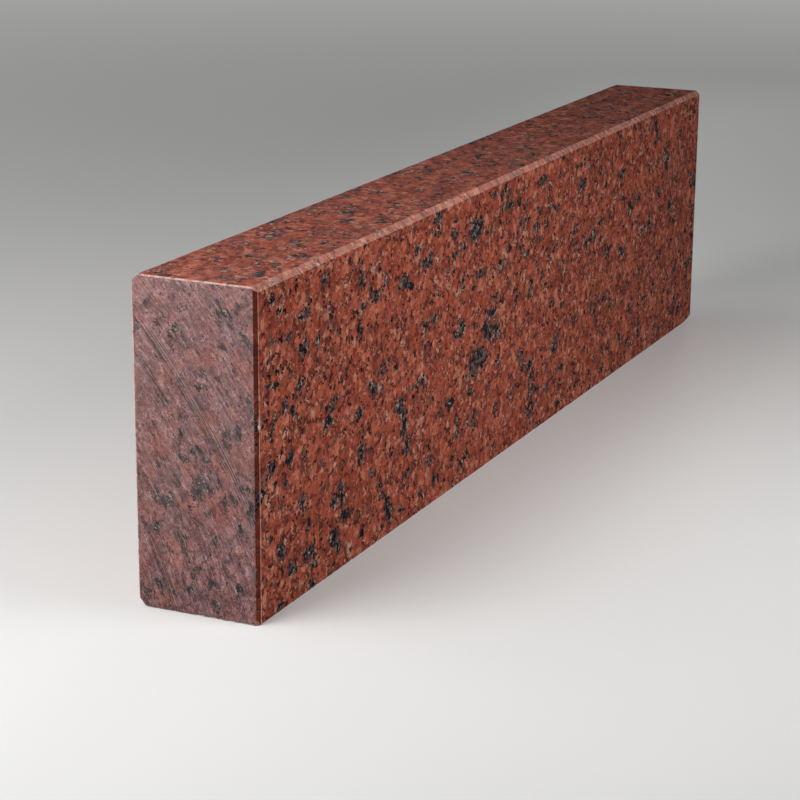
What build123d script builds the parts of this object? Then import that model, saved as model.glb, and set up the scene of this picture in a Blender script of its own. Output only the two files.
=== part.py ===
from build123d import *
import os

# Granite curb: one block sawn out of red granite, standing on its narrow side.
# Millimetres. +X runs along the curb, -Y is the exposed polished face, +Z is up.
# The origin is the middle of the bedding face, so the near butt end is at -X.

# block
LENGTH = 800.0          # along X
THICKNESS = 80.0        # along Y
HEIGHT = 200.0          # along Z

# ground chamfers on the long edges, measured on both faces of each edge
TOP_FRONT_CHAMFER = 3.4
TOP_BACK_CHAMFER = 4.5
BOTTOM_BACK_CHAMFER = 4.8
BOTTOM_FRONT_ARRIS = 0.6     # saw arris, almost sharp

# near butt end
NEAR_BEVEL_ON_END = 1.9      # bevel of the upright front edge, leg on the end face
NEAR_BEVEL_ON_FRONT = 3.0    # and on the front face
NEAR_TOP_ARRIS = 0.9         # eased top edge of the end
NEAR_BACK_ARRIS = 0.8        # eased upright back edge of the end

# far butt end
FAR_ARRIS = 0.9              # eased top and upright edges of the end
FAR_CHIP_ALONG = 22.0        # corner knocked off the bottom of the front face
FAR_CHIP_UP = 3.0
FAR_CHIP_IN = 3.2

x0, x1 = -LENGTH / 2, LENGTH / 2
yf, yb = -THICKNESS / 2, THICKNESS / 2

# cross-section, seen along the curb: points are (y, z), anticlockwise
section = [
    (yf + BOTTOM_FRONT_ARRIS, 0),
    (yb - BOTTOM_BACK_CHAMFER, 0),
    (yb, BOTTOM_BACK_CHAMFER),
    (yb, HEIGHT - TOP_BACK_CHAMFER),
    (yb - TOP_BACK_CHAMFER, HEIGHT),
    (yf + TOP_FRONT_CHAMFER, HEIGHT),
    (yf, HEIGHT - TOP_FRONT_CHAMFER),
    (yf, BOTTOM_FRONT_ARRIS),
]

# the section lies in the YZ plane and is drawn out along +X
with BuildPart() as curb:
    with BuildSketch(Plane(origin=(x0, 0, 0), x_dir=(0, 1, 0), z_dir=(1, 0, 0))):
        Polygon(*section, align=None)
    extrude(amount=LENGTH)

block = curb.part


def prism(profile, plane, amount):
    """A straight-sided cutter: a closed profile on a plane, drawn out both ways."""
    face = make_face(Polyline(*profile, close=True))
    return extrude(plane * face, amount=amount, both=True)


OVER = 5.0              # how far a cutter reaches past the block

# upright front edge of the near end: one bevel from the base to the top
plan = Plane.XY
block -= prism([(x0 - OVER, yf - OVER), (x0 - OVER, yf + NEAR_BEVEL_ON_END
                                         + OVER * NEAR_BEVEL_ON_END / NEAR_BEVEL_ON_FRONT),
                (x0 + NEAR_BEVEL_ON_FRONT + OVER * NEAR_BEVEL_ON_FRONT / NEAR_BEVEL_ON_END,
                 yf - OVER)], plan, HEIGHT + OVER)

# upright back edge of the near end
a = NEAR_BACK_ARRIS
block -= prism([(x0 - OVER, yb + OVER), (x0 - OVER, yb - a - OVER),
                (x0 + a + OVER, yb + OVER)], plan, HEIGHT + OVER)

# upright edges of the far end
a = FAR_ARRIS
block -= prism([(x1 + OVER, yb + OVER), (x1 + OVER, yb - a - OVER),
                (x1 - a - OVER, yb + OVER)], plan, HEIGHT + OVER)
block -= prism([(x1 + OVER, yf - OVER), (x1 + OVER, yf + a + OVER),
                (x1 - a - OVER, yf - OVER)], plan, HEIGHT + OVER)

# top edges of both ends, drawn across the thickness; profile points are (x, z)
side = Plane(origin=(0, 0, 0), x_dir=(1, 0, 0), z_dir=(0, -1, 0))
a = NEAR_TOP_ARRIS
block -= prism([(x0 - OVER, HEIGHT + OVER), (x0 - OVER, HEIGHT - a - OVER),
                (x0 + a + OVER, HEIGHT + OVER)], side, THICKNESS)
a = FAR_ARRIS
block -= prism([(x1 + OVER, HEIGHT + OVER), (x1 + OVER, HEIGHT - a - OVER),
                (x1 - a - OVER, HEIGHT + OVER)], side, THICKNESS)

# knocked corner at the far bottom of the front face: one slanting plane that
# leaves the three edges of the corner at the three stated distances
corner = Vector(x1, yf, 0)
normal = Vector(1 / FAR_CHIP_ALONG, -1 / FAR_CHIP_IN, -1 / FAR_CHIP_UP).normalized()
on_plane = Vector(x1 - FAR_CHIP_ALONG, yf, 0)
chip_plane = Plane(origin=on_plane, z_dir=normal)
block -= chip_plane * Box(120, 120, 30, align=(Align.CENTER, Align.CENTER, Align.MIN))

os.makedirs("parts", exist_ok=True)
solid = block.solids()[0]
solid.label = "granite_curb"
export_step(solid, "parts/granite_curb.step")

bb = solid.bounding_box()
print("solids", len(block.solids()), "valid", solid.is_valid,
      "box", [round(v, 3) for v in (bb.min.X, bb.min.Y, bb.min.Z, bb.max.X, bb.max.Y, bb.max.Z)],
      "litres", round(solid.volume / 1e6, 4))
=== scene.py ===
import math

import bpy
import numpy as np
from mathutils import Matrix, Vector
from mathutils.geometry import delaunay_2d_cdt


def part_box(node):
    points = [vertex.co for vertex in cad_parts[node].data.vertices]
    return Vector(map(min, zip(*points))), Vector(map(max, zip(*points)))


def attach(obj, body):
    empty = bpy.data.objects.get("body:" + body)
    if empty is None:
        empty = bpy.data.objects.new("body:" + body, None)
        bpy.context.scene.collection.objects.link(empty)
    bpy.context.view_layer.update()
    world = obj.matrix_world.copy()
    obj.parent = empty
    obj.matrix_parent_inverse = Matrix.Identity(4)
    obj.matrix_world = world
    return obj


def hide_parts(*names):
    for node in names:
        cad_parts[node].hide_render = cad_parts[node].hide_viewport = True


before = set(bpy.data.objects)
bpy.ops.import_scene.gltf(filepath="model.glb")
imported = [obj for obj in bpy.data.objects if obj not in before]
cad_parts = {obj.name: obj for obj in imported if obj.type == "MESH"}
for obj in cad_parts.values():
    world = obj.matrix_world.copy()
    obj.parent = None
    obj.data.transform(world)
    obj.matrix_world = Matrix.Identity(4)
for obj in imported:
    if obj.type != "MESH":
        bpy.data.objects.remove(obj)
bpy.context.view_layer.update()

# ---------------------------------------------------------------------------
# The curb: one block of red granite. Lengths below are millimetres in the
# part's frame: X along the curb with the near butt end at -X, the exposed
# front face at -Y, Z up from the bedding face.
# ---------------------------------------------------------------------------
NODE = "granite_curb"
box_lo, box_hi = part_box(NODE)
X0, Y0, Z0 = (1000.0 * v for v in box_lo)
X1, Y1, Z1 = (1000.0 * v for v in box_hi)

SEED = 20


# --- smooth lattice noise in plain arrays, the same on every run -----------
def lattice(ix, iy, iz, seed):
    h = (ix.astype(np.int64) * 374761393 + iy.astype(np.int64) * 668265263
         + iz.astype(np.int64) * 2147483647 + np.int64(seed) * 1274126177)
    h &= 0xFFFFFFFF
    h = ((h ^ (h >> 13)) * 1103515245) & 0xFFFFFFFF
    h = ((h ^ (h >> 16)) * 2246822519) & 0xFFFFFFFF
    h ^= h >> 15
    return (h & 0xFFFFFF).astype(float) / float(0xFFFFFF)


def noise3(p, size, seed):
    """Value noise in -1..1 with features about `size` mm across."""
    q = np.asarray(p, float) / size
    i = np.floor(q)
    f = q - i
    f = f * f * f * (f * (f * 6 - 15) + 10)
    i = i.astype(np.int64)
    out = 0.0
    for dx in (0, 1):
        for dy in (0, 1):
            for dz in (0, 1):
                w = ((f[:, 0] if dx else 1 - f[:, 0]) * (f[:, 1] if dy else 1 - f[:, 1])
                     * (f[:, 2] if dz else 1 - f[:, 2]))
                out = out + w * lattice(i[:, 0] + dx, i[:, 1] + dy, i[:, 2] + dz, seed)
    return out * 2 - 1


# --- the block as a convex solid: one plane for every face -----------------
S2 = 1 / math.sqrt(2)
planes = []


def face(name, normal, point, finish, rim, grid):
    """finish: honed, sawn, ground or arris. rim and grid: point spacing in mm at the
    face's edges and on the face."""
    n = np.array(normal, float)
    n /= np.linalg.norm(n)
    planes.append(dict(name=name, n=n, d=float(n @ np.array(point, float)),
                       finish=finish, rim=rim, grid=grid))


# point spacing on a face, as bands: (from, to) mm in from the face's edge, spacing, and
# where along X the band holds. The long faces carry their mineral pattern in their points.
PLAIN = ((0.9, 3.6, 1.5, -1e9, 1e9), (3.6, 9.0, 3.0, -1e9, 1e9), (9.0, 22.0, 6.0, -1e9, 1e9),
         (22.0, 1e9, 12.0, -1e9, 1e9))
SPECKLED = ((0.7, 3.2, 1.0, -1e9, 1e9), (3.2, 1e9, 2.3, -1e9, -100), (3.2, 1e9, 3.2, -100, 100),
            (3.2, 1e9, 5.0, 100, 1e9))
face("front", (0, -1, 0), (0, Y0, 0), "honed", 1.0, SPECKLED)
face("back", (0, 1, 0), (0, Y1, 0), "honed", 1.3, PLAIN)
face("top", (0, 0, 1), (0, 0, Z1), "honed", 1.0, SPECKLED)
face("bottom", (0, 0, -1), (0, 0, Z0), "sawn", 1.3, PLAIN)
face("near_end", (-1, 0, 0), (X0, 0, 0), "sawn", 0.55, 0.85)
face("far_end", (1, 0, 0), (X1, 0, 0), "sawn", 0.9, 1.5)
# ground chamfers of the long edges
face("chamfer_top_front", (0, -1, 1), (0, Y0 + 3.4, Z1), "ground", 1.0, 1.1)
face("chamfer_top_back", (0, 1, 1), (0, Y1 - 4.5, Z1), "ground", 1.3, 1.5)
face("chamfer_bottom_back", (0, 1, -1), (0, Y1 - 4.8, Z0), "ground", 1.3, 1.5)
face("arris_bottom_front", (0, -1, -1), (0, Y0 + 0.6, Z0), "sawn", 1.0, None)
# near end: bevelled upright front edge with its inner border painted pale, as worn edge and painted highlight, eased
# top and back edges
bevel = np.array((-1 / 3.0, -1 / 1.9, 0.0))
bevel /= np.linalg.norm(bevel)
face("bevel_near_front", bevel, (X0, Y0 + 1.9, 0), "honed", 0.8, 1.1)
border = bevel + np.array((0.0, -1.0, 0.0))
face("border_near_front", border, (X0 + 3.0 + 0.32, Y0, 0), "border", 0.8, None)
face("arris_near_top", (-1, 0, 1), (X0 + 0.9, 0, Z1), "arris", 0.6, None)
face("arris_near_back", (-1, 1, 0), (X0, Y1 - 0.8, 0), "arris", 0.6, None)
# far end: eased edges and a knocked corner
face("arris_far_back", (1, 1, 0), (X1, Y1 - 0.9, 0), "arris", 0.9, None)
face("arris_far_front", (1, -1, 0), (X1, Y0 + 0.9, 0), "arris", 0.9, None)
face("arris_far_top", (1, 0, 1), (X1 - 0.9, 0, Z1), "arris", 0.9, None)
face("knocked_corner", (1 / 22.0, -1 / 3.2, -1 / 3.0), (X1 - 22.0, Y0, Z0), "sawn", 0.8, 0.9)


def basis(n):
    """Two unit vectors in a plane, the first along the face's longer run."""
    for a in ((1, 0, 0), (0, 0, 1)):
        a = np.array(a, float)
        u = a - n * (a @ n)
        if np.linalg.norm(u) > 0.5:
            u /= np.linalg.norm(u)
            return u, np.cross(n, u)


def cut(poly, n, d):
    """The part of a convex polygon with n.p <= d."""
    out = []
    for a, b in zip(poly, poly[1:] + poly[:1]):
        sa, sb = n @ a - d, n @ b - d
        if sa <= 1e-9:
            out.append(a)
        if (sa < -1e-9 and sb > 1e-9) or (sa > 1e-9 and sb < -1e-9):
            out.append(a + (b - a) * (sa / (sa - sb)))
    return out


corner_index, corners = {}, []


def corner(p):
    key = tuple(int(round(c * 1e4)) for c in p)
    for dx in (0, -1, 1):
        for dy in (0, -1, 1):
            for dz in (0, -1, 1):
                k = (key[0] + dx, key[1] + dy, key[2] + dz)
                if k in corner_index:
                    return corner_index[k]
    corner_index[key] = len(corners)
    corners.append(np.array(p, float))
    return corner_index[key]


for f in planes:
    u, v = f["u"], f["v"] = basis(f["n"])
    c = f["n"] * f["d"]
    poly = [c + (u * a + v * b) * 5000 for a, b in ((-1, -1), (1, -1), (1, 1), (-1, 1))]
    for g in planes:
        if g is not f and poly:
            poly = cut(poly, g["n"], g["d"])
    ring = []
    for p in poly:
        k = corner(p)
        if not ring or ring[-1] != k:
            ring.append(k)
    if len(ring) > 1 and ring[0] == ring[-1]:
        ring.pop()
    f["ring"] = ring

# points along each shared edge, the same for both of its faces
points = [p for p in corners]
edge_points, edge_faces = {}, {}
for f in planes:
    for a, b in zip(f["ring"], f["ring"][1:] + f["ring"][:1]):
        edge_faces.setdefault((min(a, b), max(a, b)), []).append(f)
for (a, b), sides in edge_faces.items():
    run = corners[b] - corners[a]
    steps = max(1, int(math.ceil(np.linalg.norm(run) / min(s["rim"] for s in sides))))
    ids = [a]
    for k in range(1, steps):
        ids.append(len(points))
        points.append(corners[a] + run * (k / steps))
    ids.append(b)
    edge_points[(a, b)] = ids

rng = np.random.default_rng(SEED)
tri_list, tri_face, tri_uv = [], [], []
point_faces = {}
for number, f in enumerate(planes):
    loop = []
    for a, b in zip(f["ring"], f["ring"][1:] + f["ring"][:1]):
        ids = edge_points[(min(a, b), max(a, b))]
        loop += (ids if a < b else ids[::-1])[:-1]
    flat = np.array([[points[i] @ f["u"], points[i] @ f["v"]] for i in loop])
    lo, hi = flat.min(0), flat.max(0)
    # lines of the outline, for the distance of a point inside
    cs = np.array([[corners[i] @ f["u"], corners[i] @ f["v"]] for i in f["ring"]])
    nx = np.roll(cs, -1, 0) - cs
    nx /= np.linalg.norm(nx, axis=1)[:, None]
    inward = np.stack([-nx[:, 1], nx[:, 0]], 1)
    if f["grid"] is None:
        bands = ()
    elif isinstance(f["grid"], tuple):
        bands = f["grid"]
    else:
        bands = ((0.55 * f["grid"], 1e9, f["grid"], -1e9, 1e9),)
    inner = []
    for near, far, step, x_from, x_to in bands:
        gx = np.arange(lo[0] + step * 0.5, hi[0], step)
        gy = np.arange(lo[1] + step * 0.5, hi[1], step * 0.87)
        if not len(gx) or not len(gy):
            continue
        gx, gy = np.meshgrid(gx, gy)
        gx = gx + (np.arange(gx.shape[0]) % 2)[:, None] * step * 0.5
        q = np.stack([gx.ravel(), gy.ravel()], 1)
        q += (rng.random(q.shape) - 0.5) * step * 0.22
        dist = ((q[:, None, :] - cs[None]) * inward[None]).sum(2).min(1)
        at_x = f["n"][0] * f["d"] + q[:, 0] * f["u"][0] + q[:, 1] * f["v"][0]
        inner.append(q[(dist >= near) & (dist < far) & (at_x >= x_from) & (at_x < x_to)])
    inner = np.concatenate(inner) if inner else np.zeros((0, 2))
    base = len(points)
    for q in inner:
        points.append(f["n"] * f["d"] + f["u"] * q[0] + f["v"] * q[1])
    ids = loop + list(range(base, base + len(inner)))
    both = np.concatenate([flat, inner])
    shift = both.mean(0)
    made = delaunay_2d_cdt([Vector(p - shift) for p in both], [], [list(range(len(loop)))], 1, 1e-7)
    back_to = [o[0] if o else None for o in made[3]]
    if None in back_to:
        raise RuntimeError("stray point in " + f["name"])
    for t in made[2]:
        a, b, c = (back_to[i] for i in t)
        w = (both[b] - both[a])
        z = (both[c] - both[a])
        if w[0] * z[1] - w[1] * z[0] < 0:
            b, c = c, b
        tri_list.append((ids[a], ids[b], ids[c]))
        tri_face.append(number)
        tri_uv.append((both[a], both[b], both[c]))
    for i in ids:
        point_faces.setdefault(i, set()).add(number)
    f["flat"] = (lo, hi)

P = np.array(points)
tris = np.array(tri_list)
tri_face = np.array(tri_face)
tri_uv = np.array(tri_uv)
by_name = {f["name"]: k for k, f in enumerate(planes)}

# outward direction of every point: its face's normal, or the mean at an edge
N = np.zeros_like(P)
on_edge = np.zeros(len(P), bool)
on_face = np.zeros((len(P), len(planes)), bool)
for i, where in point_faces.items():
    for k in where:
        N[i] += planes[k]["n"]
        on_face[i, k] = True
    on_edge[i] = len(where) > 1
N /= np.linalg.norm(N, axis=1)[:, None]
drop = np.zeros(len(P))          # how far a point goes in along -N


# --- saw marks: arcs of a large disc across the butt ends -------------------
DISC = (-401.0, -238.0)            # disc centre in mm, across and up from the middle of the end


def disc(a, b):
    """Distance from the disc's centre, and arc length round it, of a point on the end."""
    return np.hypot(a - DISC[0], b - DISC[1]), np.arctan2(b - DISC[1], a - DISC[0]) * 480.0


def saw_relief(a, b, seed, strong):
    """a, b: mm across and up the end. Depth in mm of the disc's marks."""
    r, s = disc(a, b)
    q = np.stack([r, s, np.zeros_like(r)], 1)
    run = 0.5 + 0.5 * noise3(q * np.array([1 / 9.0, 1 / 60.0, 1]), 1.0, seed + 1)
    fine = noise3(q * np.array([1 / 2.4, 1 / 50.0, 1]), 1.0, seed + 2)
    wide = noise3(q * np.array([1 / 11.0, 1 / 160.0, 1]), 1.0, seed + 3)
    out = 0.045 * (fine + 1) * run + 0.03 * (wide + 1)
    for r0, s0, s1, wid, dep in strong:
        along = np.clip((s - s0) / 12.0, 0, 1) * np.clip((s1 - s) / 12.0, 0, 1)
        ragged = 0.65 + 0.35 * noise3(q * np.array([0, 1 / 3.5, 1]) + r0, 1.0, seed + 4)
        out = out + dep * ragged * along * np.exp(-((r - r0) / wid) ** 2)
    return out


def end_strokes(seed, count, centre, spread, arc, deep):
    g = np.random.default_rng(seed)
    out = []
    for _ in range(count):
        r0 = centre + g.normal() * spread
        mid = g.uniform(*arc)
        half = g.uniform(15, 50)
        out.append((r0, mid - half, mid + half, g.uniform(0.55, 0.85), g.uniform(*deep)))
    return out


# bundles of deep marks on the near end: (radius, spread, arc from, arc to, strength)
BUNDLES = ((481.0, 3.6, 218.0, 334.0, 1.0), (465.0, 4.5, 284.0, 332.0, 0.7), (411.0, 5.0, 165.0, 226.0, 0.7),
           (505.0, 6.0, 205.0, 260.0, 0.45), (452.0, 8.0, 190.0, 250.0, 0.4))
near = on_face[:, by_name["near_end"]]
across, up = -P[near, 1], P[near, 2] - 100.0
strokes = end_strokes(SEED + 8, 26, 470.0, 40.0, (150, 350), (0.04, 0.12))
g = np.random.default_rng(SEED + 7)
for r0, spread, s0, s1, strength in BUNDLES:
    for _ in range(int(7 * strength) + 1):
        lo, hi = s0 + g.uniform(-6, 0.35 * (s1 - s0)), s1 - g.uniform(-6, 0.35 * (s1 - s0))
        strokes.append((r0 + g.uniform(-1, 1) * spread, lo, hi, g.uniform(0.5, 0.8), strength * g.uniform(0.10, 0.24)))
drop[near] += saw_relief(across, up, SEED + 10, strokes)
far = on_face[:, by_name["far_end"]]
drop[far] += saw_relief(P[far, 1], P[far, 2] - 100.0, SEED + 30,
                        end_strokes(SEED + 9, 34, 470.0, 42.0, (150, 350), (0.05, 0.2)))
# bedding face: gentle saw lines along the length
low = on_face[:, by_name["bottom"]]
drop[low] += 0.03 * (noise3(P[low] * np.array([1 / 220.0, 1 / 6.0, 1]), 1.0, SEED + 41) + 1)

# ground chamfers: shallow facets left by the hand grinder across the edge
for name in ("chamfer_top_front", "chamfer_top_back", "chamfer_bottom_back"):
    c = on_face[:, by_name[name]]
    drop[c] += 0.05 * (noise3(P[c], 7.0, SEED + 51) + 1) + 0.04 * (noise3(P[c], 2.0, SEED + 52) + 1)

# edges: never quite straight, and worn a little more where a sawn face ends
rough = np.zeros(len(P), bool)
for name in ("near_end", "far_end", "bottom"):
    rough |= on_face[:, by_name[name]]
wob = 0.5 + 0.5 * noise3(P, 5.0, SEED + 61)
wob2 = 0.5 + 0.5 * noise3(P, 1.7, SEED + 62)
drop += np.where(on_edge, np.where(rough, 0.22, 0.10) * wob + np.where(rough, 0.20, 0.08) * wob2 ** 2, 0.0)

Q = P - N * drop[:, None]

# --- chips: small shell-shaped scoops out of the edges ----------------------
chip_depth = np.zeros(len(P))


def scoop(centre, radius, seed):
    global Q
    v = Q - centre
    d = np.linalg.norm(v, axis=1)
    near_by = d < radius * 1.25
    if not near_by.any():
        return
    rr = radius * (1 + 0.10 * noise3(P[near_by], max(0.8, radius * 0.45), seed))
    dn = d[near_by]
    push = np.maximum(rr - dn, 0.0)
    Q[near_by] += v[near_by] / np.maximum(dn, 1e-6)[:, None] * push[:, None]
    chip_depth[near_by] = np.maximum(chip_depth[near_by], push)


def edge_chips(start, end, out, count, seed, size, depth):
    """Chips at random along an edge; out is the way out of the solid there."""
    g = np.random.default_rng(seed)
    start, end, out = (np.array(t, float) for t in (start, end, out))
    out /= np.linalg.norm(out)
    for k in range(count):
        at = start + (end - start) * g.random()
        r = g.uniform(*size)
        deep = min(g.uniform(*depth), 0.6 * r)
        tilt = out + g.normal(size=3) * 0.18
        tilt /= np.linalg.norm(tilt)
        scoop(at + tilt * (r - deep), r, seed + k)


# near end, bottom edge: break-out of the saw
edge_chips((X0, 2, Z0), (X0, -36, Z0), (-1, 0, -1), 34, SEED + 71, (1.0, 2.6), (0.50, 1.30))
edge_chips((X0, 36, Z0), (X0, 2, Z0), (-1, 0, -1), 9, SEED + 72, (0.8, 1.5), (0.25, 0.5))
# near end, upright back edge and top edge
edge_chips((X0, Y1, 5), (X0, Y1, 195), (-1, 1, 0), 26, SEED + 73, (1.0, 2.4), (0.45, 0.85))
edge_chips((X0, -34, Z1), (X0, 34, Z1), (-1, 0, 1), 8, SEED + 74, (0.9, 1.8), (0.45, 0.75))
# near end, upright front edge
edge_chips((X0, Y0 + 1.9, 4), (X0, Y0 + 1.9, 190), (-1, -0.5, 0), 12, SEED + 75, (0.8, 1.6), (0.25, 0.5))
scoop(np.array((X0 + 3.2, Y0 - 1.3, 119.0)), 2.1, SEED + 90)
scoop(np.array((X0 - 0.6, Y0 + 1.0, 1.0)), 2.4, SEED + 91)
# long edges
edge_chips((X0, Y0, Z0), (X1, Y0, Z0), (0, -1, -1), 60, SEED + 76, (0.9, 2.2), (0.35, 0.8))
edge_chips((X0, Y0, 196.6), (X1, Y0, 196.6), (0, -1, 0.4), 34, SEED + 77, (0.9, 1.8), (0.2, 0.4))
edge_chips((X0, -36.6, Z1), (X1, -36.6, Z1), (0, -0.4, 1), 26, SEED + 78, (0.9, 1.8), (0.2, 0.4))
edge_chips((X0, 35.5, Z1), (X1, 35.5, Z1), (0, 0.4, 1), 26, SEED + 79, (0.9, 1.9), (0.2, 0.45))
edge_chips((X0, 35.2, Z0), (X1, 35.2, Z0), (0, 0.4, -1), 40, SEED + 80, (0.9, 2.4), (0.25, 0.6))
# far end
edge_chips((X1, -36, Z0), (X1, 36, Z0), (1, 0, -1), 22, SEED + 81, (0.9, 2.2), (0.35, 0.8))
edge_chips((X1, Y1, 5), (X1, Y1, 195), (1, 1, 0), 18, SEED + 82, (1.0, 2.2), (0.5, 0.85))
edge_chips((X1, Y0, 8), (X1, Y0, 195), (1, -1, 0), 16, SEED + 83, (1.0, 2.2), (0.5, 0.85))
edge_chips((X1, -34, Z1), (X1, 34, Z1), (1, 0, 1), 10, SEED + 84, (1.0, 2.0), (0.5, 0.8))

# the knocked corner is a rough break
kc = on_face[:, by_name["knocked_corner"]]
Q[kc] -= planes[by_name["knocked_corner"]]["n"] * (0.18 * (noise3(P[kc], 2.2, SEED + 95) + 1))[:, None]

# nothing stands outside the block
Q = np.clip(Q, (X0, Y0, Z0), (X1, Y1, Z1))

# --- mesh -------------------------------------------------------------------
mesh = bpy.data.meshes.new("granite_curb_stone")
mesh.vertices.add(len(Q))
mesh.vertices.foreach_set("co", (Q / 1000.0).astype(np.float32).ravel())
mesh.loops.add(len(tris) * 3)
mesh.loops.foreach_set("vertex_index", tris.astype(np.int32).ravel())
mesh.polygons.add(len(tris))
mesh.polygons.foreach_set("loop_start", np.arange(0, len(tris) * 3, 3, dtype=np.int32))
mesh.update(calc_edges=True)
mesh.polygons.foreach_set("use_smooth", np.ones(len(tris), bool))

# finish of every face: red = sawn, green = ground, blue = eased arris, alpha = 0 on the far end
FINISH = {"honed": (0, 0, 0), "sawn": (1, 0, 0), "ground": (0, 1, 0), "arris": (0, 0, 1), "border": (0, 0, 0.5)}
table = np.array([FINISH[f["finish"]] + (0 if f["name"] == "far_end" else 1,) for f in planes], np.float32)
att = mesh.attributes.new("finish", "FLOAT_COLOR", "CORNER")
att.data.foreach_set("color", np.repeat(table[tri_face], 3, axis=0).ravel())
# the bevel is painted deeper in colour than the honed faces: painted shade, for a bevel that the side lamps pass by
att = mesh.attributes.new("bevel_shade", "FLOAT", "CORNER")
att.data.foreach_set("value", np.repeat((tri_face == by_name["bevel_near_front"]).astype(np.float32), 3))
# and the top carries a thin pale grey film, dust in part and painted sheen in part
att = mesh.attributes.new("top_dust_and_sheen", "FLOAT", "CORNER")
att.data.foreach_set("value", np.repeat((tri_face == by_name["top"]).astype(np.float32), 3))
att = mesh.attributes.new("chip", "FLOAT", "POINT")
att.data.foreach_set("value", np.clip(chip_depth / 0.35, 0, 1).astype(np.float32))

# Minerals. The dark mica of this stone lies in gathers of a few flakes, here by place and
# half size in mm, with an optional lean in degrees: on the front (x, z), on the top (x, y)
# and on the near end (across from left to right, z).
FRONT_MICA = (
    (-399, 120, 1.5, 4.2), (-381, 166, 4.2, 3.8), (-371, 162, 3.5, 2.2), (-360, 163, 4.2, 3.2, 20), (-373, 180, 4, 3), (-341, 172, 7, 4.5, 15),
    (-342, 152, 5.5, 5, 30), (-324, 151, 2.6, 6), (-348, 130, 4, 6), (-366, 123, 5, 4, -25), (-357, 118, 4, 4),
    (-379, 118, 3.5, 3.5), (-382, 111, 2.8, 4.5), (-382, 91, 4.5, 4), (-390, 86, 5.5, 2.4, 25), (-397, 78, 3.5, 5),
    (-361, 90, 5.5, 4, 15), (-342, 88, 4.5, 2.6, -10), (-311, 99, 6, 4.5), (-308, 107, 4, 2.6, -20), (-299, 111, 3, 3.2),
    (-269, 92, 4.5, 4.5), (-267, 146, 3.5, 8.5, 25), (-264, 157, 5, 3), (-245, 161, 8, 4.2), (-231, 167, 4.5, 4),
    (-202, 162, 6.5, 4.8), (-210, 160, 5, 2.2, 10), (-193, 156, 6, 3.2, -15), (-183, 178, 6.5, 2.2, -20),
    (-177, 166, 6, 2.4, 5), (-164, 167, 5.5, 4), (-152, 182, 4.5, 2.2), (-233, 112, 4.2, 6), (-247, 102, 5.5, 5),
    (-222, 141, 4, 2.4), (-167, 124, 5, 2.8), (-154, 125, 5.5, 2.6), (-172, 88, 4, 3.4), (-183, 89, 6.5, 1.8),
    (-209, 82, 6, 5), (-202, 72, 4.5, 8.5, 10), (-203, 62, 6, 4), (-197, 52, 3, 6), (-266, 66, 5, 8.5, -25),
    (-294, 52, 5, 5), (-292, 44, 3, 4), (-303, 46, 3.5, 3.4), (-372, 36, 5.5, 6), (-344, 60, 5, 4), (-341, 52, 4, 4),
    (-337, 42, 3.5, 4.2), (-385, 48, 3, 3), (-359, 22, 5.5, 4.5), (-336, 24, 7.5, 5.5), (-330, 15, 4, 3), (-333, 3, 6, 3),
    (-374, 3, 6, 2.2), (-303, 23, 6.5, 7), (-287, 32, 6, 5), (-297, 16, 8.5, 2.6, -10), (-248, 48, 5.5, 2.4, -15),
    (-239, 37, 3.5, 4.5), (-226, 17, 6, 10, 20), (-235, 28, 6, 3, -25), (-263, 14, 4, 4), (-207, 10, 6, 2.4, -10),
    (-160, 31, 7, 2.4, 12), (-154, 16, 4, 4), (-197, 33, 5, 3.5), (-177, 14, 4, 2.6), (-365, 76, 2.2, 3.6),
    (-315, 186, 4, 3), (-381, 187, 5, 2.2), (-265, 176, 2.6, 3.6), (-240, 177, 3, 4), (-308, 160, 2.6, 4),
    (-387, 142, 3, 3), (-378, 138, 4.5, 2.2), (-360, 142, 3.5, 3), (-152, 193, 7, 4), (-148, 143, 4, 2.5),
    (-125, 176, 4.5, 4.5), (-109, 166, 4, 5), (-124, 161, 5, 2.4), (-124, 152, 3.5, 3), (-88, 173, 11, 9),
    (-108, 141, 4, 6), (-80, 140, 6, 2.6), (-42, 138, 7, 5), (-28, 148, 5, 3), (-12, 178, 5, 3), (-4, 162, 3, 8, 40),
    (-33, 179, 9, 3), (-42, 188, 4, 3), (-57, 192, 4, 2.5), (32, 185, 10, 3, 5), (70, 183, 4, 3), (23, 154, 7, 3.6, -15),
    (63, 159, 7, 2.4, -15), (4, 138, 4, 4.5), (60, 132, 9, 2), (-52, 119, 7, 2.4), (-110, 109, 8, 5, 15), (-122, 108, 3, 3.5),
    (-87, 106, 4, 2), (-69, 100, 4, 5), (-58, 95, 12, 6.5), (-47, 93, 6, 5), (-58, 108, 9, 4), (-83, 80, 15, 8),
    (-97, 74, 8, 2.8), (-68, 79, 6, 4), (-129, 62, 7.5, 4), (-45, 70, 3, 3.5), (12, 108, 3, 5), (-12, 109, 4, 4),
    (37, 114, 4, 2.6), (57, 91, 4, 2.5), (-1, 64, 4, 5), (2, 54, 6, 3), (18, 54, 6, 3.5), (63, 53, 7, 3),
    (-96, 61, 6, 2.4, -25), (-118, 48, 5, 2.2), (-117, 38, 4.5, 3), (-88, 36, 5, 2.6), (-49, 38, 3, 4), (-125, 21, 4, 2.4),
    (-109, 12, 6, 4, 25), (-50, 10, 5, 3), (20, 42, 5, 2.5), (50, 27, 7, 3.6, -15), (15, 19, 6, 2.5), (78, 35, 6, 4.5),
    (77, 8, 5, 2.6), (115, 167, 9, 5), (122, 187, 5, 2.5), (102, 136, 4, 3), (207, 161, 9, 4), (247, 134, 7, 4),
    (245, 115, 5, 3), (390, 122, 8, 5), (340, 100, 6, 3), (292, 50, 6, 4), (212, 26, 6, 4), (170, 67, 5, 2.5),
    (155, 25, 6, 3), (290, 175, 8, 3), (350, 22, 6, 3), (232, 194, 5, 2.5))
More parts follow.
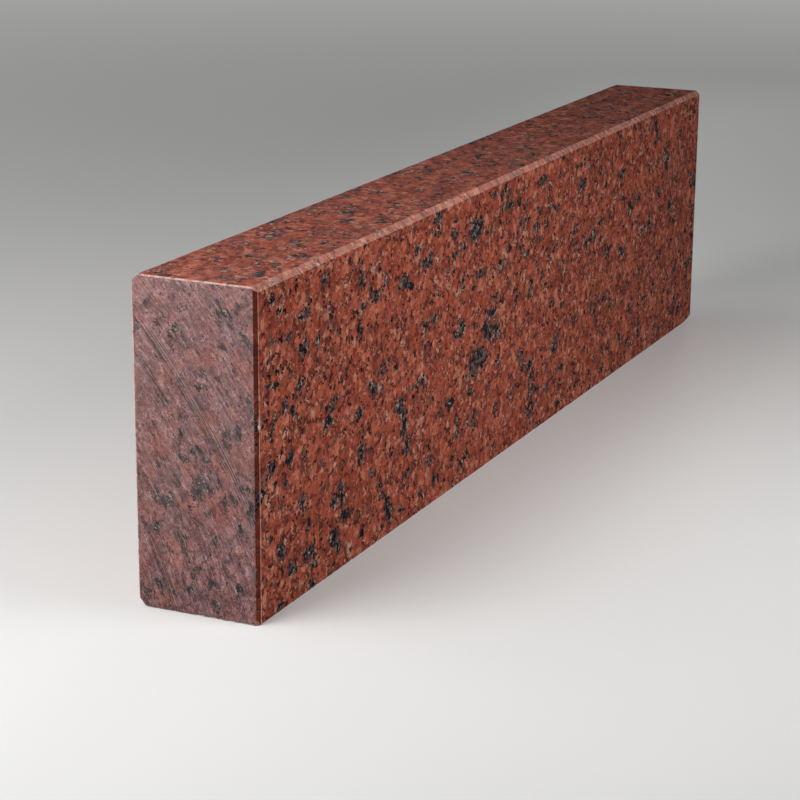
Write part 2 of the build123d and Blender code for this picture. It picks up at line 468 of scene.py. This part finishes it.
TOP_MICA = (
    (-277, 15, 8, 4), (-195, 4, 7, 5), (-217, -7, 5, 4), (-281, -23, 5, 3), (-180, 10, 4, 4), (-350, 12, 5, 3),
    (-332, 2, 6, 2.2), (-370, -27, 6, 2.5), (-387, -12, 4, 3), (-205, -26, 8, 2.5), (-155, -14, 5, 2.2), (-117, -25, 8, 3),
    (30, 8, 7, 3), (40, -8, 5, 3), (0, -15, 7, 2.5), (65, -10, 6, 3), (-297, -12, 4, 3), (-245, -10, 4, 2.2),
    (100, -32, 6, 2.5), (-72, -10, 5, 2.5), (-30, 22, 6, 2.4), (-127, 30, 6, 2.5), (-390, 25, 5, 3))
END_MICA = (
    (-23, 173, 2.6, 3.4), (-6, 164, 2.0, 4.4), (-11, 172, 3.4, 1.6), (-14, 164, 1.6, 2.6), (20, 181, 7.5, 2.4, -35),
    (15, 188, 1.8, 4), (33, 171, 2.2, 7, 30), (4, 147, 3, 2.6), (14, 146, 2.2, 3), (5, 137, 5, 2.4), (34, 131, 2.4, 4),
    (37, 124, 3, 4), (19, 162, 4, 2.4), (-9, 117, 2.2, 4), (-8, 109, 2, 4.5), (3, 101, 4.5, 3.4), (6, 96, 2, 3),
    (-7, 96, 6, 2.4, -35), (21, 110, 3.4, 4.4), (27, 114, 2, 4.5), (3, 80, 6, 5), (1, 75, 4.5, 4.5), (-12, 80, 2.4, 2.4),
    (-24, 88, 2, 2.6), (-26, 72, 4, 4.6), (-21, 67, 5, 3.4), (15, 83, 1.8, 3.5), (22, 73, 3.2, 5), (28, 86, 2.6, 4.4),
    (32, 81, 2.6, 2.6), (35, 69, 2.4, 4.6), (26, 59, 2.4, 4), (-12, 57, 2, 4), (7, 65, 2, 2.6), (-28, 51, 4, 3.4),
    (12, 47, 2, 2.6), (-8, 40, 2.2, 6, 20), (-9, 47, 3, 2), (1, 27, 4.5, 2), (0, 21, 2.4, 3.4), (11, 21, 2.6, 3.6),
    (-26, 17, 4.6, 3.4), (-15, 12, 3.4, 2.6), (-6, 15, 2.2, 2.6), (12, 9, 2.2, 3.6), (28, 19, 2, 4), (-32, 9, 3.4, 3.4),
    (-31, 185, 3.4, 2.4), (-36, 169, 2.2, 2.6), (27, 186, 2.6, 2.6), (-9, 140, 2.6, 3.4), (-18, 128, 2.6, 2.6))
# pale grains, and on the end the patches of warmer feldspar
FRONT_PALE = (
    (-183, 172, 4, 2), (-249, 180, 3, 2.5), (-331, 109, 3, 3), (-238, 102, 4, 2), (-118, 136, 4, 3), (-41, 137, 4, 2.2),
    (-37, 147, 5, 2.4), (18, 177, 4, 2), (1, 123, 4, 4), (-396.6, 120, 1.3, 4.5), (-252, 108, 3, 3), (-281, 9, 4, 5), (9, 110, 2, 4),
    (-312, 98, 2, 2), (-198, 66, 3, 3), (-75, 77, 4, 2), (-83, 174, 3, 2), (-300, 20, 2, 3))
END_WARM = (
    (7, 156, 8, 6), (30, 156, 6, 6), (16, 71, 9, 5), (-15, 41, 3, 3), (-20, 9, 7, 3), (-35, 124, 5, 5), (18, 90, 6, 7),
    (25, 66, 6, 6), (-25, 100, 5, 6), (8, 118, 6, 4), (-12, 150, 6, 4), (-30, 60, 5, 4), (30, 100, 5, 6), (-6, 88, 7, 4))


def gathers(u, v, spots, seed, ragged=1.6, reach=1.26, fade=0.60, drawn=None):
    """How far a point is inside the nearest of the listed gathers, 0 to 1, with ragged outlines.
    drawn: radius and arc of a disc, where the outlines are drawn out along its way round."""
    q = np.stack([u, v, np.zeros_like(u)], 1) if drawn is None else np.stack([drawn[0], 0.45 * drawn[1], np.zeros_like(u)], 1)
    u, v = (c + ragged * noise3(q, 4.0, seed + k) + 0.4 * ragged * noise3(q, 1.6, seed + k + 40)
            for k, c in enumerate((u, v)))
    out = np.zeros(len(u))
    for cu, cv, hu, hv, *lean in spots:
        t = math.radians(lean[0]) if lean else 0.0
        du, dv = u - cu, v - cv
        e = np.hypot((du * math.cos(t) + dv * math.sin(t)) / hu, (dv * math.cos(t) - du * math.sin(t)) / hv)
        out = np.maximum(out, np.clip((reach - e) / fade, 0, 1))
    return out


fr = np.zeros(len(P), bool)
for name in ("front", "chamfer_top_front", "bevel_near_front", "border_near_front", "arris_bottom_front"):
    fr |= on_face[:, by_name[name]]
tp = on_face[:, by_name["top"]] & ~fr
en = on_face[:, by_name["near_end"]] & ~fr & ~tp
mineral = np.zeros((len(P), 4), np.float32)
mineral[:, 1] = 1.0                              # free gathers where none are placed
mineral[:, 3] = 1.0
mineral[fr, 0] = gathers(P[fr, 0], P[fr, 2], FRONT_MICA, SEED + 101)
mineral[fr, 2] = gathers(P[fr, 0], P[fr, 2], FRONT_PALE, SEED + 103)
mineral[fr, 1] = np.interp(P[fr, 0], (-400, -60, 60, 130), (0.1, 0.2, 0.65, 0.72))
mineral[tp, 0] = gathers(P[tp, 0], P[tp, 1], TOP_MICA, SEED + 105)
mineral[tp, 1] = np.interp(P[tp, 0], (-400, -60, 90, 200), (0.4, 0.5, 0.7, 0.9))
mineral[en, 0] = gathers(-P[en, 1], P[en, 2], END_MICA, SEED + 107, 2.8, 1.45, 0.85,
                          disc(-P[en, 1], P[en, 2] - 100.0))
mineral[en, 2] = gathers(-P[en, 1], P[en, 2], END_WARM, SEED + 109, 2.6, 1.45, 0.35)
mineral[en, 1] = 0.1
att = mesh.attributes.new("mineral", "FLOAT_COLOR", "POINT")
att.data.foreach_set("color", mineral.ravel())

# how strongly the saw has marked a place
mark = np.full(len(P), 0.35)
r, s = disc(-P[near, 1], P[near, 2] - 100.0)
deep = np.full(len(r), 0.30)
for r0, spread, s0, s1, strength in BUNDLES:
    window = np.clip((s - s0 + 8) / 16, 0, 1) * np.clip((s1 + 8 - s) / 16, 0, 1)
    deep = np.maximum(deep, strength * window * np.exp(-((r - r0) / (1.15 * spread)) ** 4))
mark[near] = deep
att = mesh.attributes.new("saw", "FLOAT", "POINT")
att.data.foreach_set("value", mark.astype(np.float32))

# texture layout: every face flat, long faces stacked in rows, the ends turned
# sideways in a row of their own
GAP = 3.2
WIDE = (X1 - X0) + 2 * GAP
rows = [["front"], ["back"], ["top"], ["bottom"], ["near_end", "far_end"],
        ["chamfer_top_front"], ["chamfer_top_back"], ["chamfer_bottom_back"], ["arris_bottom_front"],
        ["bevel_near_front", "border_near_front", "arris_near_back"],
        ["arris_far_back", "arris_far_front", "arris_near_top", "arris_far_top", "knocked_corner"]]
if sorted(n for r in rows for n in r) != sorted(by_name):
    raise RuntimeError("a face has no place in the texture layout")
place, y = {}, GAP
for row in rows:
    sizes = [planes[by_name[n]]["flat"][1] - planes[by_name[n]]["flat"][0] for n in row]
    room = WIDE - GAP * (len(row) + 1)
    stretch = room / sum(s[0] for s in sizes)
    stretch = min(stretch, 1.9)
    x = GAP
    for n, s in zip(row, sizes):
        place[by_name[n]] = (x, y, stretch)
        x += s[0] * stretch + GAP
    y += max(s[1] for s in sizes) + GAP
TALL = y
uv = np.zeros((len(tris), 3, 2))
for k, f in enumerate(planes):
    m = tri_face == k
    x, y, stretch = place[k]
    uv[m, :, 0] = (x + (tri_uv[m, :, 0] - f["flat"][0][0]) * stretch) / WIDE
    uv[m, :, 1] = (y + (tri_uv[m, :, 1] - f["flat"][0][1])) / TALL
layer = mesh.uv_layers.new(name="OFBake")
layer.data.foreach_set("uv", uv.astype(np.float32).ravel())

mesh.validate()
mesh.set_sharp_from_angle(angle=math.radians(24))
stone = bpy.data.objects.new("granite_curb_stone", mesh)
bpy.context.scene.collection.objects.link(stone)
print("stone: points", len(Q), "triangles", len(tris))


# ---------------------------------------------------------------------------
# Granite
# ---------------------------------------------------------------------------
class Graph:
    """Short names for building a shader tree."""

    def __init__(self, tree):
        self.tree = tree

    def node(self, kind, **props):
        n = self.tree.nodes.new(kind)
        for k, v in props.items():
            setattr(n, k, v)
        return n

    def put(self, socket, value):
        if isinstance(value, bpy.types.NodeSocket):
            self.tree.links.new(value, socket)
        elif value is not None:
            socket.default_value = value

    def math(self, op, a, b=None, c=None, clamp=False):
        n = self.node("ShaderNodeMath", operation=op, use_clamp=clamp)
        for s, v in zip(n.inputs, (a, b, c)):
            self.put(s, v)
        return n.outputs[0]

    def vec(self, op, a, b=None, scale=None):
        n = self.node("ShaderNodeVectorMath", operation=op)
        self.put(n.inputs[0], a)
        self.put(n.inputs[1], b)
        if scale is not None:
            self.put(n.inputs["Scale"], scale)
        return n.outputs["Value"] if op in ("LENGTH", "DISTANCE", "DOT_PRODUCT") else n.outputs["Vector"]

    def ramp(self, value, a, b, lo=0.0, hi=1.0, smooth=True):
        n = self.node("ShaderNodeMapRange", interpolation_type="SMOOTHSTEP" if smooth else "LINEAR")
        for s, v in zip(n.inputs, (value, a, b, lo, hi)):
            self.put(s, v)
        return n.outputs[0]

    def mix(self, fac, a, b, blend="MIX"):
        n = self.node("ShaderNodeMix", data_type="RGBA", blend_type=blend)
        self.put(n.inputs[0], fac)
        self.put(n.inputs[6], a)
        self.put(n.inputs[7], b)
        return n.outputs[2]

    def blend(self, fac, a, b):
        n = self.node("ShaderNodeMix", data_type="FLOAT")
        self.put(n.inputs[0], fac)
        self.put(n.inputs[2], a)
        self.put(n.inputs[3], b)
        return n.outputs[0]

    def noise(self, vector, size, detail=2.0, rough=0.5):
        n = self.node("ShaderNodeTexNoise", noise_dimensions="3D")
        self.put(n.inputs["Vector"], vector)
        n.inputs["Scale"].default_value = 1.0 / size
        n.inputs["Detail"].default_value = detail
        n.inputs["Roughness"].default_value = rough
        return n.outputs[0], n.outputs[1]

    def cells(self, vector, size, feature="F1"):
        n = self.node("ShaderNodeTexVoronoi", voronoi_dimensions="3D", feature=feature)
        self.put(n.inputs["Vector"], vector)
        n.inputs["Scale"].default_value = 1.0 / size
        n.inputs["Randomness"].default_value = 1.0
        return n

    def colours(self, fac, stops, interpolation="LINEAR"):
        n = self.node("ShaderNodeValToRGB")
        e = n.color_ramp.elements
        n.color_ramp.interpolation = interpolation
        while len(e) < len(stops):
            e.new(0.5)
        for k, (at, rgb) in zip(e, stops):
            k.position = at
            k.color = (*rgb, 1)
        self.put(n.inputs[0], fac)
        return n.outputs[0]

    def split(self, colour):
        n = self.node("ShaderNodeSeparateColor")
        self.put(n.inputs[0], colour)
        return n.outputs[0], n.outputs[1], n.outputs[2]

    def parts(self, vector):
        n = self.node("ShaderNodeSeparateXYZ")
        self.put(n.inputs[0], vector)
        return n.outputs[0], n.outputs[1], n.outputs[2]

    def join(self, x, y, z):
        n = self.node("ShaderNodeCombineXYZ")
        for s, v in zip(n.inputs, (x, y, z)):
            self.put(s, v)
        return n.outputs[0]


def granite():
    mat = bpy.data.materials.new("red_granite")
    mat.use_nodes = True
    mat.node_tree.nodes.clear()
    g = Graph(mat.node_tree)
    where = g.node("ShaderNodeTexCoord").outputs["Object"]
    p = g.vec("SCALE", where, scale=1000.0)                      # millimetres

    fin = g.node("ShaderNodeAttribute", attribute_name="finish")
    sawn, ground, arris = g.split(fin.outputs["Color"])
    chip = g.node("ShaderNodeAttribute", attribute_name="chip").outputs["Fac"]
    placed, free, spot = g.split(g.node("ShaderNodeAttribute", attribute_name="mineral").outputs["Color"])
    marked = g.node("ShaderNodeAttribute", attribute_name="saw").outputs["Fac"]

    # ragged grain borders
    w1 = g.vec("SCALE", g.vec("SUBTRACT", g.noise(p, 5.0, 2.0)[1], (0.5, 0.5, 0.5)), scale=6.0)
    w2 = g.vec("SCALE", g.vec("SUBTRACT", g.noise(p, 1.3, 1.0)[1], (0.5, 0.5, 0.5)), scale=2.4)
    q = g.vec("ADD", g.vec("ADD", p, w1), w2)

    # grains of three sizes
    big = g.cells(q, 8.5)
    r1, g1, b1 = g.split(big.outputs["Color"])
    mid = g.cells(g.vec("ADD", q, (31.0, 17.0, 53.0)), 4.0)
    r2, g2, b2 = g.split(mid.outputs["Color"])
    small = g.cells(g.vec("ADD", q, (7.0, 91.0, 23.0)), 1.9)
    r3, g3, b3 = g.split(small.outputs["Color"])
    fine, _ = g.noise(p, 0.8, 2.0, 0.6)
    patch, _ = g.noise(p, 30.0, 1.0)

    def plus(*terms):
        out = terms[0]
        for t in terms[1:]:
            out = g.math("ADD", out, t)
        return out

    def times(a, b):
        return g.math("MULTIPLY", a, b)

    def non(a):
        return g.math("SUBTRACT", 1.0, a, clamp=True)

    # feldspar crystals, clean inside, set in a finer gravel of dark, red and beige grains
    gap = g.cells(q, 8.5, "DISTANCE_TO_EDGE").outputs["Distance"]
    core = g.ramp(plus(gap, times(r2, 0.17)), 0.14, 0.19)
    core = times(core, g.math("GREATER_THAN", g1, 0.14))
    crystal = g.colours(plus(times(r1, 0.44), times(r2, 0.54), times(r3, 0.32), times(fine, 0.56), times(patch, 0.10), -0.48), [
        (0.00, (0.120, 0.024, 0.016)),
        (0.28, (0.235, 0.046, 0.026)),
        (0.58, (0.335, 0.071, 0.039)),
        (0.82, (0.420, 0.110, 0.064)),
        (1.00, (0.490, 0.175, 0.112)),
    ])
    gravel = g.colours(plus(times(r3, 0.84), times(r2, 0.26), times(fine, 0.54), -0.32), [
        (0.00, (0.026, 0.011, 0.009)),
        (0.20, (0.080, 0.022, 0.017)),
        (0.46, (0.195, 0.044, 0.028)),
        (0.72, (0.330, 0.088, 0.054)),
        (0.88, (0.440, 0.205, 0.142)),
        (1.00, (0.540, 0.365, 0.290)),
    ])
    feldspar = g.mix(core, gravel, crystal)
    # separate salmon crystals
    salmon = g.math("GREATER_THAN", g2, 0.940)
    feldspar = g.mix(times(salmon, 0.80), feldspar, g.mix(r3, (0.44, 0.125, 0.070, 1), (0.56, 0.275, 0.185, 1)))

    # gathers of mica: placed ones, and free ones where none are placed
    gather, _ = g.noise(g.vec("ADD", p, (0.0, 700.0, 0.0)), 14.5, 2.0, 0.5)
    dense = g.math("MAXIMUM", placed, times(g.ramp(gather, 0.600, 0.660), free))

    # quartz: brownish grey, mostly beside the mica
    qz = g.math("GREATER_THAN", plus(b2, times(dense, 0.12)), 0.925)
    quartz = g.mix(r3, (0.052, 0.022, 0.017, 1), (0.150, 0.072, 0.055, 1))
    colour = g.mix(times(qz, 0.78), feldspar, quartz)
    light_grain = times(times(spot, non(sawn)), g.math("GREATER_THAN", g3, 0.35))
    colour = g.mix(times(light_grain, 0.90), colour, g.mix(b3, (0.46, 0.20, 0.12, 1), (0.52, 0.40, 0.32, 1)))

    # a gather is a few black flakes with grey grains and some near-white ones about them
    flakes = g.cells(g.vec("ADD", q, (211.0, 5.0, 77.0)), 2.5)
    f1, f2, f3 = g.split(flakes.outputs["Color"])
    crumb = times(g.math("LESS_THAN", r3, 0.15), g.math("GREATER_THAN", b2, 0.50))
    dark = g.math("MAXIMUM", g.math("LESS_THAN", f1, plus(0.013, times(dense, 0.66))), times(crumb, non(core)))
    ashen = times(g.math("LESS_THAN", g3, times(dense, 0.80)), non(dark))
    white = times(times(ashen, g.math("GREATER_THAN", b3, 0.86)), g.ramp(dense, 0.3, 0.6))
    # black mica flakes; the grey bits set in them are painted glints
    biotite_with_glints = g.mix(times(times(g.math("GREATER_THAN", g3, 0.80), g.ramp(dense, 0.3, 0.6)), 0.8),
                    g.mix(b3, (0.004, 0.004, 0.006, 1), (0.020, 0.020, 0.025, 1)), (0.085, 0.084, 0.088, 1))
    ash = g.mix(r3, (0.030, 0.026, 0.026, 1), (0.130, 0.110, 0.102, 1))
    honed = g.mix(times(ashen, 0.85), colour, ash)
    honed = g.mix(white, honed, (0.36, 0.320, 0.290, 1))
    honed = g.mix(dark, honed, biotite_with_glints)

    # sawn: the crushed skin is pale and dull and the minerals show through it
    y, z = g.parts(p)[1], g.parts(p)[2]
    side = g.math("SUBTRACT", 1.0, times(fin.outputs["Alpha"], 2.0))
    a = plus(times(y, side), -DISC[0])
    b = plus(z, -100.0 - DISC[1])
    radius = g.math("SQRT", plus(times(a, a), times(b, b)))
    arc = times(g.math("ARCTAN2", b, a), 480.0)
    lines, _ = g.noise(g.join(g.math("DIVIDE", radius, 0.72), g.math("DIVIDE", arc, 75.0), 0.0), 1.0, 2.0, 0.7)
    runs, _ = g.noise(g.join(g.math("DIVIDE", plus(radius, times(g.parts(w1)[1], 0.10)), 0.95), g.math("DIVIDE", arc, 120.0), 7.0), 1.0, 3.0, 0.7)
    dust, _ = g.noise(p, 17.0, 2.0, 0.6)
    # grains torn a little along the disc's way round
    torn = g.vec("ADD", g.join(radius, times(arc, 0.36), g.parts(p)[0]), g.vec("ADD", g.vec("SCALE", w1, scale=0.6), w2))
    bits = g.cells(torn, 0.98)
    t1, t2, t3 = g.split(bits.outputs["Color"])
    # the z term lightens the sawn faces towards the top: painted light from above
    sawn_tone = plus(times(r1, 0.18), times(r2, 0.25), times(r3, 0.32), times(t1, 0.48), times(fine, 0.62),
                     times(lines, 0.42), times(z, 0.0010), -0.765)
    sawn_feldspar = g.colours(sawn_tone, [
        (0.00, (0.095, 0.047, 0.047)),
        (0.25, (0.190, 0.091, 0.090)),
        (0.50, (0.300, 0.146, 0.141)),
        (0.75, (0.425, 0.222, 0.210)),
        (1.00, (0.590, 0.390, 0.372)),
    ])
    warm = g.math("MAXIMUM", times(spot, 0.62), times(g.ramp(b1, 0.70, 0.80), 0.50))
    sawn_feldspar = g.mix(warm, sawn_feldspar, g.colours(sawn_tone, [
        (0.05, (0.190, 0.062, 0.050)), (0.50, (0.390, 0.139, 0.109)), (0.95, (0.560, 0.260, 0.212))]))
    grey = times(g.ramp(g1, 0.62, 0.72), 0.55)
    sawn_feldspar = g.mix(grey, sawn_feldspar, (0.78, 0.88, 0.95, 1), "MULTIPLY")
    sawn_base = g.mix(times(qz, 0.5), sawn_feldspar, g.mix(t1, (0.110, 0.078, 0.076, 1), (0.260, 0.195, 0.185, 1)))
    # the mica is broken up fine by the saw: greenish grey zones full of black specks
    sawn_base = g.mix(times(g.ramp(plus(dense, times(t1, 0.30)), 0.45, 0.95), 0.42), sawn_base,
                      g.mix(t3, (0.070, 0.074, 0.072, 1), (0.215, 0.190, 0.182, 1)))
    smear = g.cells(g.vec("ADD", g.join(radius, times(arc, 0.30), g.parts(p)[0]), g.vec("SCALE", w1, scale=0.9)), 2.7)
    smeared = times(g.math("LESS_THAN", g.split(smear.outputs["Color"])[0], 0.075), g.ramp(t1, 0.30, 0.45))
    sawn_base = g.mix(times(smeared, 0.55), sawn_base, (0.095, 0.088, 0.086, 1))
    specks = g.math("LESS_THAN", t2, plus(0.048, times(times(dense, dense), 0.70)))
    sawn_base = g.mix(times(specks, 0.92), sawn_base, g.mix(t3, (0.010, 0.013, 0.015, 1), (0.052, 0.057, 0.060, 1)))
    clear = g.math("GREATER_THAN", t3, plus(0.998, times(dense, -0.022)))
    sawn_base = g.mix(times(clear, 0.5), sawn_base, (0.60, 0.56, 0.54, 1))
    crack = times(g.ramp(gap, 0.030, 0.010), g.ramp(dust, 0.50, 0.60))
    sawn_base = g.mix(times(crack, 0.65), sawn_base, (0.075, 0.062, 0.062, 1))
    # pale haze: random dust, plus a rise with height that is painted light from above
    dust_haze_and_top_light = g.ramp(plus(dust, times(z, 0.0020)), 0.40, 0.95, 0.0, 0.18)
    sawn_base = g.mix(dust_haze_and_top_light, sawn_base, (0.400, 0.265, 0.255, 1))
    held, _ = g.noise(torn, 3.4, 2.0, 0.6)
    bundled = times(g.ramp(marked, 0.42, 0.75), g.ramp(held, 0.38, 0.60, 0.20, 1.0))
    bright = g.math("MAXIMUM", times(g.ramp(lines, 0.54, 0.65), marked), times(g.ramp(runs, 0.53, 0.63), bundled))
    deep = g.math("MAXIMUM", times(g.ramp(lines, 0.490, 0.39), marked), times(g.ramp(runs, 0.500, 0.39), bundled))
    sawn_base = g.mix(times(bundled, 0.22), sawn_base, (0.110, 0.088, 0.084, 1))
    sawn_col = g.mix(times(bright, 0.50), sawn_base, (0.54, 0.395, 0.370, 1))
    sawn_col = g.mix(times(deep, 0.80), sawn_col, (0.060, 0.050, 0.050, 1))

    # ground: the grinder's fine marks run across the chamfer
    x = g.parts(p)[0]
    across = g.math("SUBTRACT", z, y)
    scores, _ = g.noise(g.join(g.math("DIVIDE", x, 0.9), g.math("DIVIDE", across, 14.0), 3.0), 1.0, 2.0, 0.7)
    facet, _ = g.noise(g.join(g.math("DIVIDE", x, 7.0), g.math("DIVIDE", across, 30.0), 9.0), 1.0, 1.0, 0.5)
    scored = plus(times(g.ramp(scores, 0.40, 0.66), 0.75), times(g.ramp(facet, 0.35, 0.65), 0.45), -0.10)
    ground_col = g.mix(1.0, honed, (1.45, 1.65, 1.75, 1), "MULTIPLY")
    ground_col = g.mix(g.ramp(scored, 0.0, 1.0, 0.15, 0.72), ground_col, (0.640, 0.360, 0.295, 1))
    ground_col = g.mix(times(g.math("MAXIMUM", dark, times(ashen, 0.7)), 0.50), ground_col, (0.130, 0.125, 0.128, 1))
    # eased arrises and the bevel's inner border are painted pale: worn ground edge in part, painted edge highlight in
    # part
    worn_and_highlight, _ = g.noise(p, 3.2, 2.0, 0.6)
    arris_worn_highlight_col = g.mix(g.ramp(worn_and_highlight, 0.30, 0.58, 0.35, 0.92), honed, (0.740, 0.500, 0.440, 1))

    bevel_shade = g.node("ShaderNodeAttribute", attribute_name="bevel_shade").outputs["Fac"]
    bare = times(times(non(dark), non(light_grain)), non(chip))
    # painted shade on the bevel: deep dark red wherever no dark grain, pale grain or chip lies
    colour = g.mix(times(times(bevel_shade, bare), 0.82), honed, (0.085, 0.017, 0.010, 1))
    top_dust_and_sheen = g.node("ShaderNodeAttribute", attribute_name="top_dust_and_sheen").outputs["Fac"]
    # thin pale grey wash on the top: dust in part, painted sheen in part
    colour = g.mix(times(top_dust_and_sheen, g.ramp(dust, 0.25, 0.75, 0.03, 0.10)), colour, (0.34, 0.33, 0.34, 1))
    colour = g.mix(sawn, colour, sawn_col)
    colour = g.mix(ground, colour, ground_col)
    colour = g.mix(arris, colour, arris_worn_highlight_col)
    colour = g.mix(times(chip, 0.40), colour, (0.42, 0.25, 0.21, 1))
    fresh = times(times(chip, non(sawn)), g.ramp(spot, 0.2, 0.6))
    colour = g.mix(times(fresh, 0.90), colour, (0.74, 0.56, 0.40, 1))

    rough_honed = plus(0.30, times(dark, 0.12), times(fine, 0.20))
    dull = g.math("MAXIMUM", g.math("MAXIMUM", sawn, ground), g.math("MAXIMUM", arris, chip), clamp=True)
    rough = g.blend(dull, rough_honed, plus(0.68, times(lines, 0.2)))

    # relief: plucked flakes and grain borders on the honed skin, fine saw lines on the ends
    pit, _ = g.noise(p, 0.5, 1.0, 0.6)
    height = g.blend(sawn, times(pit, 0.05), plus(times(lines, times(plus(marked, 0.25), 0.20)), times(pit, 0.24)))
    height = g.blend(ground, height, plus(times(pit, 0.14), times(scores, 0.12)))
    bump = g.node("ShaderNodeBump")
    bump.inputs["Strength"].default_value = 0.55
    bump.inputs["Distance"].default_value = 0.001
    g.put(bump.inputs["Height"], height)

    shader = g.node("ShaderNodeBsdfPrincipled")
    g.put(shader.inputs["Base Color"], colour)
    g.put(shader.inputs["Roughness"], rough)
    g.put(shader.inputs["Normal"], bump.outputs[0])
    shader.inputs["IOR"].default_value = 1.5
    shader.inputs["Specular IOR Level"].default_value = 0.008
    out = g.node("ShaderNodeOutputMaterial")
    g.put(out.inputs["Surface"], shader.outputs[0])
    return mat


mesh.materials.append(granite())
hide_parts(NODE)
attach(stone, "root")

# ---------------------------------------------------------------------------
# Stage: plain pale floor, soft light, camera
# ---------------------------------------------------------------------------
def plain(name, colour, roughness):
    mat = bpy.data.materials.new(name)
    mat.use_nodes = True
    s = mat.node_tree.nodes["Principled BSDF"]
    s.inputs["Base Color"].default_value = (*colour, 1)
    s.inputs["Roughness"].default_value = roughness
    s.inputs["Specular IOR Level"].default_value = 0.05
    return mat


floor_mesh = bpy.data.meshes.new("floor")
ring = [(14 * math.cos(t), 14 * math.sin(t), 0.0) for t in np.linspace(0, 2 * math.pi, 65)[:-1]]
floor_mesh.from_pydata(ring, [], [list(range(64))])
floor = bpy.data.objects.new("floor", floor_mesh)
floor.location.z = -0.0002
bpy.context.scene.collection.objects.link(floor)
# the floor runs out into a pale sweep, lighter with distance
sweep = plain("floor_pale", (0.80, 0.795, 0.785), 0.65)
g = Graph(sweep.node_tree)
away = g.vec("LENGTH", g.node("ShaderNodeTexCoord").outputs["Object"])
s = sweep.node_tree.nodes["Principled BSDF"]
s.inputs["Emission Color"].default_value = (1.0, 0.995, 0.985, 1)
g.put(s.inputs["Emission Strength"], g.ramp(away, 0.8, 4.0, 0.12, 0.34))
floor_mesh.materials.append(sweep)

# pale walls round a dim ceiling, dimmer past the far end
world = bpy.data.worlds.new("studio")
world.use_nodes = True
g = Graph(world.node_tree)
way = g.node("ShaderNodeTexCoord").outputs["Generated"]
rise = g.ramp(g.parts(way)[2], 0.22, 0.55, 0.36, 0.05)
dim = g.ramp(g.vec("DOT_PRODUCT", way, (0.909, 0.417, 0.0)), 0.35, 0.95, 1.0, 0.25)
world.node_tree.nodes["Background"].inputs[0].default_value = (0.97, 0.975, 0.985, 1)
g.put(world.node_tree.nodes["Background"].inputs[1], g.math("MULTIPLY", rise, dim))
bpy.context.scene.world = world


def softbox(name, at, aim, size, watts, spread, mirrored=True):
    data = bpy.data.lights.new(name, "AREA")
    data.shape = "RECTANGLE"
    data.size, data.size_y = size
    data.energy = watts
    data.spread = math.radians(spread)
    ob = bpy.data.objects.new(name, data)
    ob.location = at
    ob.rotation_mode = "QUATERNION"
    ob.rotation_quaternion = (Vector(aim) - Vector(at)).to_track_quat("-Z", "Y")
    ob.visible_camera = False
    ob.visible_glossy = mirrored
    bpy.context.scene.collection.objects.link(ob)
    return ob


softbox("key_front", (-0.13, -0.92, 0.58), (-0.13, 0, 0.1), (0.5, 0.5), 1.46, 95)
softbox("near_end", (-0.78, 0.25, 0.80), (-0.4, 0, 0.12), (0.5, 0.5), 6.1, 180)
softbox("back_fill", (-0.6, 2.0, 0.9), (0, 0, 0.1), (1.4, 0.9), 10, 180)
softbox("far_end", (2.2, 0.45, 0.30), (0.4, 0.02, 0.11), (0.4, 0.3), 0.50, 34, False)

cam_data = bpy.data.cameras.new("camera")
cam_data.sensor_width = 36.0
cam_data.lens = 2304.405 / 800 * 36.0
cam_data.clip_start, cam_data.clip_end = 0.05, 60
cam = bpy.data.objects.new("camera", cam_data)
az, el, roll = math.radians(-65.35), math.radians(16.316), math.radians(0.402)
back = Vector((math.sin(az) * math.cos(el), -math.cos(az) * math.cos(el), math.sin(el)))
right = Vector((math.cos(az), math.sin(az), 0))
up = back.cross(right)
right, up = right * math.cos(roll) + up * math.sin(roll), up * math.cos(roll) - right * math.sin(roll)
cam.matrix_world = Matrix(((right.x, up.x, back.x, -1.486605), (right.y, up.y, back.y, -0.626481),
                           (right.z, up.z, back.z, 0.496913), (0, 0, 0, 1)))
bpy.context.scene.collection.objects.link(cam)
bpy.context.scene.camera = cam
bpy.context.scene.view_settings.view_transform = "Standard"
